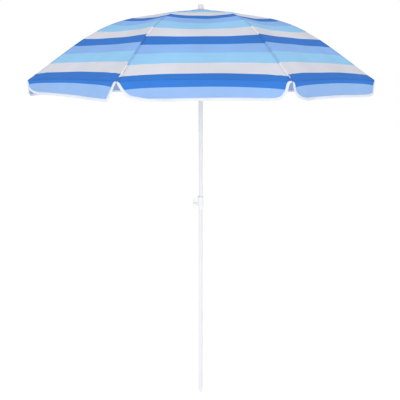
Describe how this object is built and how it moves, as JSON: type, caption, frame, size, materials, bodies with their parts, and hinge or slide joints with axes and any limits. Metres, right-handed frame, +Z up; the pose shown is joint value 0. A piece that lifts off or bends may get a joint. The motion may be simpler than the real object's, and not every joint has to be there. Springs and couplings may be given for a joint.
{
  "type": "beach umbrella",
  "caption": "Beach umbrella with a striped cloth canopy and hanging flaps on folding ribs, over a telescoping white pole with a clamp knob and a ground plug.",
  "frame": {"origin": "centre of the ground plug's lowest face, on the pole's axis", "axes": "+Z up along the pole, -Y towards the middle of the front panel, -X towards the clamp knob"},
  "size_m": [1.4906, 1.4906, 2.042],
  "materials": {
    "pole_paint": "satin",
    "frame_paint": "satin",
    "steel": "satin",
    "white_plastic": "satin",
    "plug_plastic": "matte",
    "hub_plastic": "matte",
    "blue_cloth": "matte",
    "flap_cloth": "matte",
    "tip_plastic": "satin"
  },
  "bodies": {
    "lower_pole": {"lower_tube": "pole_paint", "ground_plug": "plug_plastic", "clamp_collar": "white_plastic"},
    "knob": {"clamp_knob": "white_plastic", "clamp_screw": "steel"},
    "upper_pole": {"upper_tube": "pole_paint", "tube_plug": "plug_plastic", "crown": "hub_plastic", "crown_ring": "steel", "top_patch": "blue_cloth", "top_cap": "white_plastic", "catch_pin": "steel"},
    "catch": {"catch_spring": "steel"},
    "runner_slider": {"runner": "hub_plastic", "runner_ring": "steel"},
    "rib_arm_1": {"rib_1": "frame_paint", "rib_tip_1": "tip_plastic"},
    "rib_arm_2": {"rib_2": "frame_paint", "rib_tip_2": "tip_plastic"},
    "rib_arm_3": {"rib_3": "frame_paint", "rib_tip_3": "tip_plastic"},
    "rib_arm_4": {"rib_4": "frame_paint", "rib_tip_4": "tip_plastic"},
    "rib_arm_5": {"rib_5": "frame_paint", "rib_tip_5": "tip_plastic"},
    "rib_arm_6": {"rib_6": "frame_paint", "rib_tip_6": "tip_plastic"},
    "rib_arm_7": {"rib_7": "frame_paint", "rib_tip_7": "tip_plastic"},
    "rib_arm_8": {"rib_8": "frame_paint", "rib_tip_8": "tip_plastic"},
    "stretcher_arm_1": {"stretcher_1": "frame_paint"},
    "stretcher_arm_2": {"stretcher_2": "frame_paint"},
    "stretcher_arm_3": {"stretcher_3": "frame_paint"},
    "stretcher_arm_4": {"stretcher_4": "frame_paint"},
    "stretcher_arm_5": {"stretcher_5": "frame_paint"},
    "stretcher_arm_6": {"stretcher_6": "frame_paint"},
    "stretcher_arm_7": {"stretcher_7": "frame_paint"},
    "stretcher_arm_8": {"stretcher_8": "frame_paint"},
    "panel_cloth_1": {"panel_1": "blue_cloth"},
    "panel_cloth_2": {"panel_2": "blue_cloth"},
    "panel_cloth_3": {"panel_3": "blue_cloth"},
    "panel_cloth_4": {"panel_4": "blue_cloth"},
    "panel_cloth_5": {"panel_5": "blue_cloth"},
    "panel_cloth_6": {"panel_6": "blue_cloth"},
    "panel_cloth_7": {"panel_7": "blue_cloth"},
    "panel_cloth_8": {"panel_8": "blue_cloth"},
    "valance_cloth_1": {"valance_1": "flap_cloth"},
    "valance_cloth_2": {"valance_2": "flap_cloth"},
    "valance_cloth_3": {"valance_3": "flap_cloth"},
    "valance_cloth_4": {"valance_4": "flap_cloth"},
    "valance_cloth_5": {"valance_5": "flap_cloth"},
    "valance_cloth_6": {"valance_6": "flap_cloth"},
    "valance_cloth_7": {"valance_7": "flap_cloth"},
    "valance_cloth_8": {"valance_8": "flap_cloth"}
  },
  "joints": [
    {"name": "pole_slide", "type": "slide", "parent": "lower_pole", "child": "upper_pole", "axis": [0, 0, 1], "range_m": [-0.03, 0.16]},
    {"name": "knob_turn", "type": "hinge", "parent": "lower_pole", "child": "knob", "pos_m": [-0.03, 0, 1.082], "axis": [-1, 0, 0], "range_deg": [0, 540]},
    {"name": "catch_press", "type": "hinge", "parent": "upper_pole", "child": "catch", "pos_m": [0, 0.0045, 1.76834], "axis": [1, 0, 0], "range_deg": [0, 9], "stiffness_Nm_per_rad": 0.5},
    {"name": "canopy_fold", "type": "hinge", "parent": "upper_pole", "child": "rib_arm_1", "pos_m": [-0.0088, -0.02233, 2.01], "axis": [0.9304, -0.3665, 0], "range_deg": [0, 66], "deforming": ["panel_1", "panel_2", "panel_3", "panel_4", "panel_5", "panel_6", "panel_7", "panel_8", "valance_1", "valance_2", "valance_3", "valance_4", "valance_5", "valance_6", "valance_7", "valance_8", "catch_spring"]},
    {"name": "rib_fold_2", "type": "hinge", "parent": "upper_pole", "child": "rib_arm_2", "pos_m": [0.00957, -0.02201, 2.01], "axis": [0.9171, 0.3987, 0], "range_deg": [0, 66]},
    {"name": "rib_fold_3", "type": "hinge", "parent": "upper_pole", "child": "rib_arm_3", "pos_m": [0.02233, -0.0088, 2.01], "axis": [0.3665, 0.9304, 0], "range_deg": [0, 66]},
    {"name": "rib_fold_4", "type": "hinge", "parent": "upper_pole", "child": "rib_arm_4", "pos_m": [0.02201, 0.00957, 2.01], "axis": [-0.3987, 0.9171, 0], "range_deg": [0, 66]},
    {"name": "rib_fold_5", "type": "hinge", "parent": "upper_pole", "child": "rib_arm_5", "pos_m": [0.0088, 0.02233, 2.01], "axis": [-0.9304, 0.3665, 0], "range_deg": [0, 66]},
    {"name": "rib_fold_6", "type": "hinge", "parent": "upper_pole", "child": "rib_arm_6", "pos_m": [-0.00957, 0.02201, 2.01], "axis": [-0.9171, -0.3987, 0], "range_deg": [0, 66]},
    {"name": "rib_fold_7", "type": "hinge", "parent": "upper_pole", "child": "rib_arm_7", "pos_m": [-0.02233, 0.0088, 2.01], "axis": [-0.3665, -0.9304, 0], "range_deg": [0, 66]},
    {"name": "rib_fold_8", "type": "hinge", "parent": "upper_pole", "child": "rib_arm_8", "pos_m": [-0.02201, -0.00957, 2.01], "axis": [0.3987, -0.9171, 0], "range_deg": [0, 66]},
    {"name": "stretcher_fold_1", "type": "hinge", "parent": "rib_arm_1", "child": "stretcher_arm_1", "pos_m": [-0.13929, -0.35361, 1.93757], "axis": [0.9304, -0.3665, 0], "range_deg": [-132, 0]},
    {"name": "stretcher_fold_2", "type": "hinge", "parent": "rib_arm_2", "child": "stretcher_arm_2", "pos_m": [0.15155, -0.34853, 1.93757], "axis": [0.9171, 0.3987, 0], "range_deg": [-132, 0]},
    {"name": "stretcher_fold_3", "type": "hinge", "parent": "rib_arm_3", "child": "stretcher_arm_3", "pos_m": [0.35361, -0.13929, 1.93757], "axis": [0.3665, 0.9304, 0], "range_deg": [-132, 0]},
    {"name": "stretcher_fold_4", "type": "hinge", "parent": "rib_arm_4", "child": "stretcher_arm_4", "pos_m": [0.34853, 0.15155, 1.93757], "axis": [-0.3987, 0.9171, 0], "range_deg": [-132, 0]},
    {"name": "stretcher_fold_5", "type": "hinge", "parent": "rib_arm_5", "child": "stretcher_arm_5", "pos_m": [0.13929, 0.35361, 1.93757], "axis": [-0.9304, 0.3665, 0], "range_deg": [-132, 0]},
    {"name": "stretcher_fold_6", "type": "hinge", "parent": "rib_arm_6", "child": "stretcher_arm_6", "pos_m": [-0.15155, 0.34853, 1.93757], "axis": [-0.9171, -0.3987, 0], "range_deg": [-132, 0]},
    {"name": "stretcher_fold_7", "type": "hinge", "parent": "rib_arm_7", "child": "stretcher_arm_7", "pos_m": [-0.35361, 0.13929, 1.93757], "axis": [-0.3665, -0.9304, 0], "range_deg": [-132, 0]},
    {"name": "stretcher_fold_8", "type": "hinge", "parent": "rib_arm_8", "child": "stretcher_arm_8", "pos_m": [-0.34853, -0.15155, 1.93757], "axis": [0.3987, -0.9171, 0], "range_deg": [-132, 0]},
    {"name": "runner_pivot", "type": "hinge", "parent": "stretcher_arm_1", "child": "runner_slider", "pos_m": [-0.0088, -0.02233, 1.86514], "axis": [0.9304, -0.3665, 0], "range_deg": [0, 66]},
    {"name": "panel_fold_1", "type": "hinge", "parent": "upper_pole", "child": "panel_cloth_1", "pos_m": [0.00039, -0.02217, 2.01], "axis": [0.9998, 0.0175, 0], "range_deg": [0, 66]},
    {"name": "panel_fold_2", "type": "hinge", "parent": "upper_pole", "child": "panel_cloth_2", "pos_m": [0.01595, -0.0154, 2.01], "axis": [0.6947, 0.7193, 0], "range_deg": [0, 66]},
    {"name": "panel_fold_3", "type": "hinge", "parent": "upper_pole", "child": "panel_cloth_3", "pos_m": [0.02217, 0.00039, 2.01], "axis": [-0.0175, 0.9998, 0], "range_deg": [0, 66]},
    {"name": "panel_fold_4", "type": "hinge", "parent": "upper_pole", "child": "panel_cloth_4", "pos_m": [0.0154, 0.01595, 2.01], "axis": [-0.7193, 0.6947, 0], "range_deg": [0, 66]},
    {"name": "panel_fold_5", "type": "hinge", "parent": "upper_pole", "child": "panel_cloth_5", "pos_m": [-0.00039, 0.02217, 2.01], "axis": [-0.9998, -0.0175, 0], "range_deg": [0, 66]},
    {"name": "panel_fold_6", "type": "hinge", "parent": "upper_pole", "child": "panel_cloth_6", "pos_m": [-0.01595, 0.0154, 2.01], "axis": [-0.6947, -0.7193, 0], "range_deg": [0, 66]},
    {"name": "panel_fold_7", "type": "hinge", "parent": "upper_pole", "child": "panel_cloth_7", "pos_m": [-0.02217, -0.00039, 2.01], "axis": [0.0175, -0.9998, 0], "range_deg": [0, 66]},
    {"name": "panel_fold_8", "type": "hinge", "parent": "upper_pole", "child": "panel_cloth_8", "pos_m": [-0.0154, -0.01595, 2.01], "axis": [0.7193, -0.6947, 0], "range_deg": [0, 66]},
    {"name": "valance_hang_1", "type": "hinge", "parent": "panel_cloth_1", "child": "valance_cloth_1", "pos_m": [0.0129, -0.73899, 1.695], "axis": [0.9998, 0.0175, 0], "range_deg": [-66, 0]},
    {"name": "valance_hang_2", "type": "hinge", "parent": "panel_cloth_2", "child": "valance_cloth_2", "pos_m": [0.53167, -0.51343, 1.695], "axis": [0.6947, 0.7193, 0], "range_deg": [-66, 0]},
    {"name": "valance_hang_3", "type": "hinge", "parent": "panel_cloth_3", "child": "valance_cloth_3", "pos_m": [0.73899, 0.0129, 1.695], "axis": [-0.0175, 0.9998, 0], "range_deg": [-66, 0]},
    {"name": "valance_hang_4", "type": "hinge", "parent": "panel_cloth_4", "child": "valance_cloth_4", "pos_m": [0.51343, 0.53167, 1.695], "axis": [-0.7193, 0.6947, 0], "range_deg": [-66, 0]},
    {"name": "valance_hang_5", "type": "hinge", "parent": "panel_cloth_5", "child": "valance_cloth_5", "pos_m": [-0.0129, 0.73899, 1.695], "axis": [-0.9998, -0.0175, 0], "range_deg": [-66, 0]},
    {"name": "valance_hang_6", "type": "hinge", "parent": "panel_cloth_6", "child": "valance_cloth_6", "pos_m": [-0.53167, 0.51343, 1.695], "axis": [-0.6947, -0.7193, 0], "range_deg": [-66, 0]},
    {"name": "valance_hang_7", "type": "hinge", "parent": "panel_cloth_7", "child": "valance_cloth_7", "pos_m": [-0.73899, -0.0129, 1.695], "axis": [0.0175, -0.9998, 0], "range_deg": [-66, 0]},
    {"name": "valance_hang_8", "type": "hinge", "parent": "panel_cloth_8", "child": "valance_cloth_8", "pos_m": [-0.51343, -0.53167, 1.695], "axis": [0.7193, -0.6947, 0], "range_deg": [-66, 0]}
  ],
  "couplings": [
    {"joint": "rib_fold_2", "follows": "canopy_fold", "ratio": 1},
    {"joint": "rib_fold_3", "follows": "canopy_fold", "ratio": 1},
    {"joint": "rib_fold_4", "follows": "canopy_fold", "ratio": 1},
    {"joint": "rib_fold_5", "follows": "canopy_fold", "ratio": 1},
    {"joint": "rib_fold_6", "follows": "canopy_fold", "ratio": 1},
    {"joint": "rib_fold_7", "follows": "canopy_fold", "ratio": 1},
    {"joint": "rib_fold_8", "follows": "canopy_fold", "ratio": 1},
    {"joint": "stretcher_fold_1", "follows": "canopy_fold", "ratio": -2},
    {"joint": "stretcher_fold_2", "follows": "canopy_fold", "ratio": -2},
    {"joint": "stretcher_fold_3", "follows": "canopy_fold", "ratio": -2},
    {"joint": "stretcher_fold_4", "follows": "canopy_fold", "ratio": -2},
    {"joint": "stretcher_fold_5", "follows": "canopy_fold", "ratio": -2},
    {"joint": "stretcher_fold_6", "follows": "canopy_fold", "ratio": -2},
    {"joint": "stretcher_fold_7", "follows": "canopy_fold", "ratio": -2},
    {"joint": "stretcher_fold_8", "follows": "canopy_fold", "ratio": -2},
    {"joint": "runner_pivot", "follows": "canopy_fold", "ratio": 1},
    {"joint": "panel_fold_1", "follows": "canopy_fold", "ratio": 1},
    {"joint": "panel_fold_2", "follows": "canopy_fold", "ratio": 1},
    {"joint": "panel_fold_3", "follows": "canopy_fold", "ratio": 1},
    {"joint": "panel_fold_4", "follows": "canopy_fold", "ratio": 1},
    {"joint": "panel_fold_5", "follows": "canopy_fold", "ratio": 1},
    {"joint": "panel_fold_6", "follows": "canopy_fold", "ratio": 1},
    {"joint": "panel_fold_7", "follows": "canopy_fold", "ratio": 1},
    {"joint": "panel_fold_8", "follows": "canopy_fold", "ratio": 1},
    {"joint": "valance_hang_1", "follows": "canopy_fold", "ratio": -1},
    {"joint": "valance_hang_2", "follows": "canopy_fold", "ratio": -1},
    {"joint": "valance_hang_3", "follows": "canopy_fold", "ratio": -1},
    {"joint": "valance_hang_4", "follows": "canopy_fold", "ratio": -1},
    {"joint": "valance_hang_5", "follows": "canopy_fold", "ratio": -1},
    {"joint": "valance_hang_6", "follows": "canopy_fold", "ratio": -1},
    {"joint": "valance_hang_7", "follows": "canopy_fold", "ratio": -1},
    {"joint": "valance_hang_8", "follows": "canopy_fold", "ratio": -1}
  ]
}
